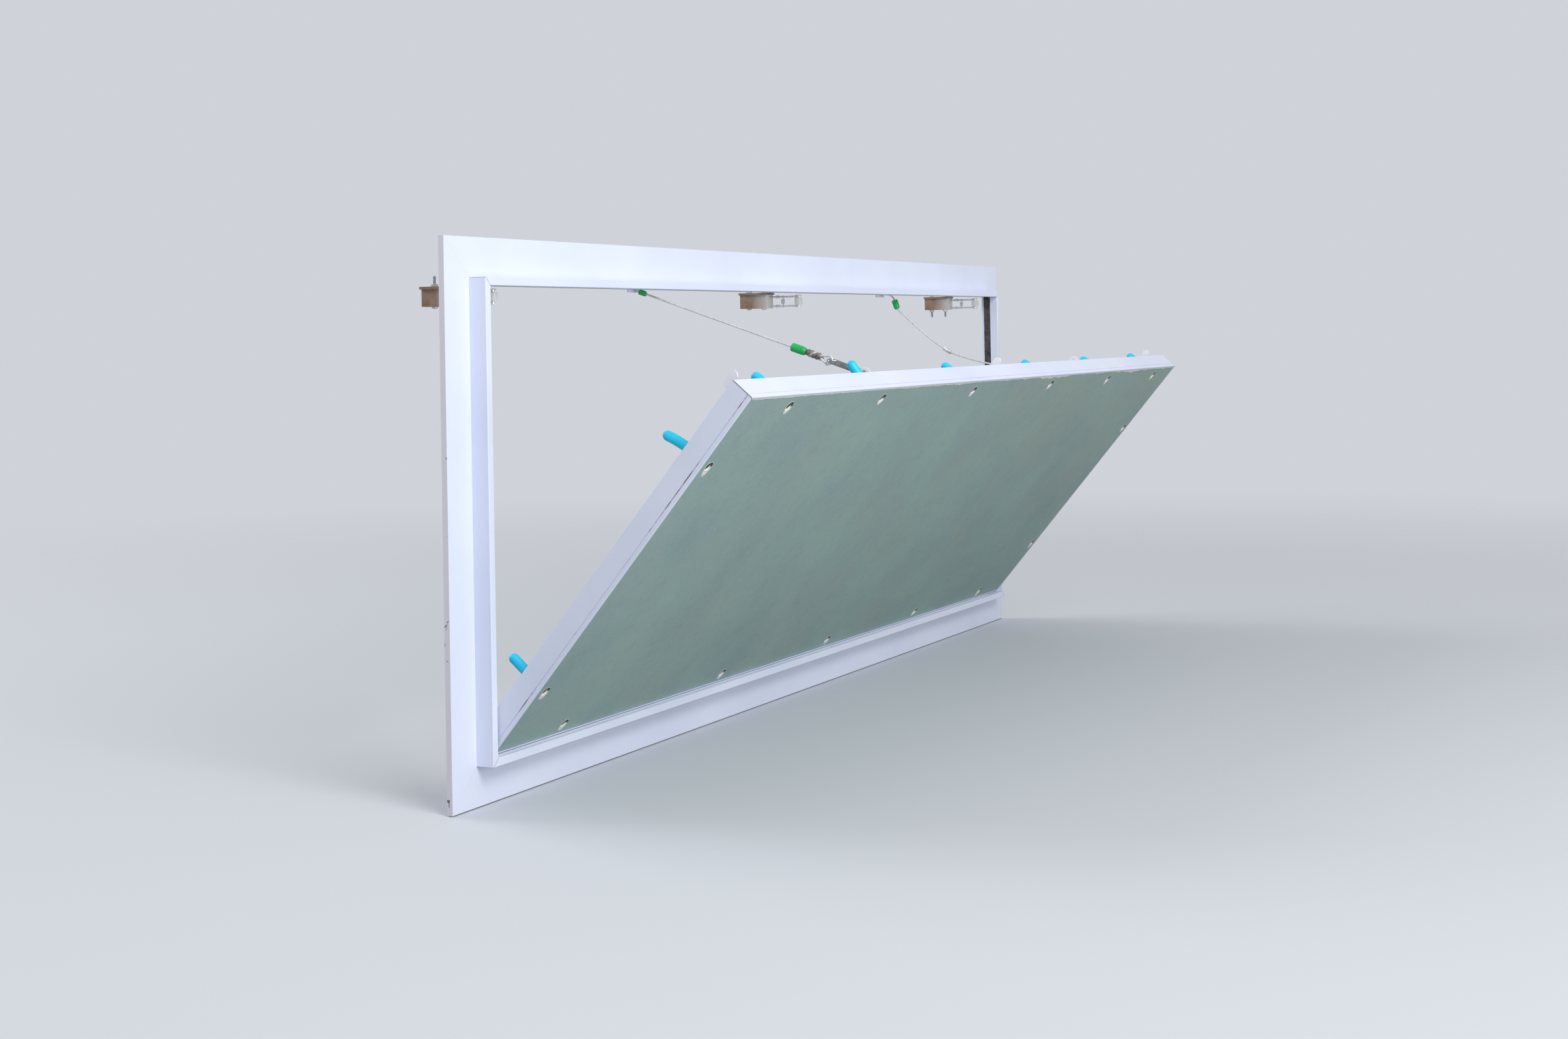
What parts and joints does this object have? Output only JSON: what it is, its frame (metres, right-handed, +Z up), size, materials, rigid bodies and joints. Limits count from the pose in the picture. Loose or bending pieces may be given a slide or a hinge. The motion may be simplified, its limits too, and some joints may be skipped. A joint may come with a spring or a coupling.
{
  "type": "ceiling access panel",
  "caption": "Flush access panel: mitred lip-and-flange frame, drop-down door with plaster board, roller push latches and steel safety cables.",
  "frame": {"origin": "centre of the opening, on the flange's front plane", "axes": "+X along the hinge, +Y behind the panel into the void, +Z up from the hinge to the latches; the door opens towards -Y"},
  "size_m": [1.2888, 0.3487, 0.4888],
  "materials": {
    "white_coat": "white powder coat on extruded aluminium",
    "white_steel": "white powder coat on sheet steel",
    "zinc_steel": "bright zinc plated",
    "wire_rope": "galvanised twisted wire rope",
    "board": "matte green-grey paper face of a moisture-resistant plaster board",
    "cap_plastic": "smooth sky blue",
    "sleeve_plastic": "smooth green",
    "latch_shell": "satin brown-grey",
    "roller_plastic": "satin white",
    "foam": "closed-cell black foam",
    "ferrule_alloy": "crimped matte"
  },
  "bodies": {
    "frame": {"frame_top_rail": "white_coat", "frame_bottom_rail": "white_coat", "frame_left_rail": "white_coat", "frame_right_rail": "white_coat", "seal_top": "foam", "seal_bottom": "foam", "seal_left": "foam", "seal_right": "foam", "frame_corner_keys": "zinc_steel", "hinge_pins": "zinc_steel", "latch_screws": "zinc_steel", "latch_nuts": "zinc_steel", "cable_stops": "zinc_steel", "latch_plate_left": "zinc_steel", "latch_plate_middle": "zinc_steel", "latch_plate_right": "zinc_steel", "cable_anchor_left": "white_steel", "cable_anchor_right": "white_steel", "latch_body_left": "latch_shell", "latch_body_middle": "latch_shell", "latch_body_right": "latch_shell", "cable_sleeve_top": "sleeve_plastic", "cable_sleeve_right": "sleeve_plastic", "cable_left": "wire_rope", "cable_right": "wire_rope", "cable_ferrule_right": "ferrule_alloy"},
    "door": {"door_top_rail": "white_coat", "door_bottom_rail": "white_coat", "door_left_rail": "white_coat", "door_right_rail": "white_coat", "door_corner_keys": "zinc_steel", "hinge_bushes": "zinc_steel", "board_screws": "zinc_steel", "bracket_rivets": "zinc_steel", "carabiner": "zinc_steel", "striker_left": "white_steel", "striker_middle": "white_steel", "striker_right": "white_steel", "cable_bracket_left": "white_steel", "cable_bracket_right": "white_steel", "door_board": "board", "screw_caps": "cap_plastic", "cable_sleeve_left": "sleeve_plastic", "cable_splice_left": "wire_rope", "cable_loop_right": "wire_rope"},
    "gate": {"carabiner_gate": "zinc_steel"},
    "fork_left": {"latch_fork_left": "zinc_steel", "latch_spring_left": "zinc_steel", "roller_pin_left": "roller_plastic"},
    "roller_left": {"latch_roller_left": "roller_plastic"},
    "fork_middle": {"latch_fork_middle": "zinc_steel", "latch_spring_middle": "zinc_steel", "roller_pin_middle": "roller_plastic"},
    "roller_middle": {"latch_roller_middle": "roller_plastic"},
    "fork_right": {"latch_fork_right": "zinc_steel", "latch_spring_right": "zinc_steel", "roller_pin_right": "roller_plastic"},
    "roller_right": {"latch_roller_right": "roller_plastic"}
  },
  "joints": [
    {"name": "door_hinge", "type": "hinge", "parent": "frame", "child": "door", "pos_m": [0, -0.0125, -0.19], "axis": [1, 0, 0], "range_deg": [-40, 0], "deforming": ["cable_left", "cable_right", "cable_sleeve_top", "cable_sleeve_right", "cable_ferrule_right"]},
    {"name": "latch_push_left", "type": "slide", "parent": "frame", "child": "fork_left", "axis": [0, 1, 0], "range_m": [0, 0.006], "stiffness_N_per_m": 400},
    {"name": "roller_spin_left", "type": "hinge", "parent": "fork_left", "child": "roller_left", "pos_m": [-0.56, 0.01, 0.1933], "axis": [0, 0, 1], "continuous": true},
    {"name": "latch_push_middle", "type": "slide", "parent": "frame", "child": "fork_middle", "axis": [0, 1, 0], "range_m": [0, 0.006], "stiffness_N_per_m": 400},
    {"name": "roller_spin_middle", "type": "hinge", "parent": "fork_middle", "child": "roller_middle", "pos_m": [0.045, 0.01, 0.1933], "axis": [0, 0, 1], "continuous": true},
    {"name": "latch_push_right", "type": "slide", "parent": "frame", "child": "fork_right", "axis": [0, 1, 0], "range_m": [0, 0.006], "stiffness_N_per_m": 400},
    {"name": "roller_spin_right", "type": "hinge", "parent": "fork_right", "child": "roller_right", "pos_m": [0.589, 0.01, 0.1933], "axis": [0, 0, 1], "continuous": true},
    {"name": "carabiner_gate_hinge", "type": "hinge", "parent": "door", "child": "gate", "pos_m": [-0.293, -0.21846, 0.1217], "axis": [0, -0.3199, 0.9474], "range_deg": [0, 25], "stiffness_Nm_per_rad": 0.02}
  ]
}
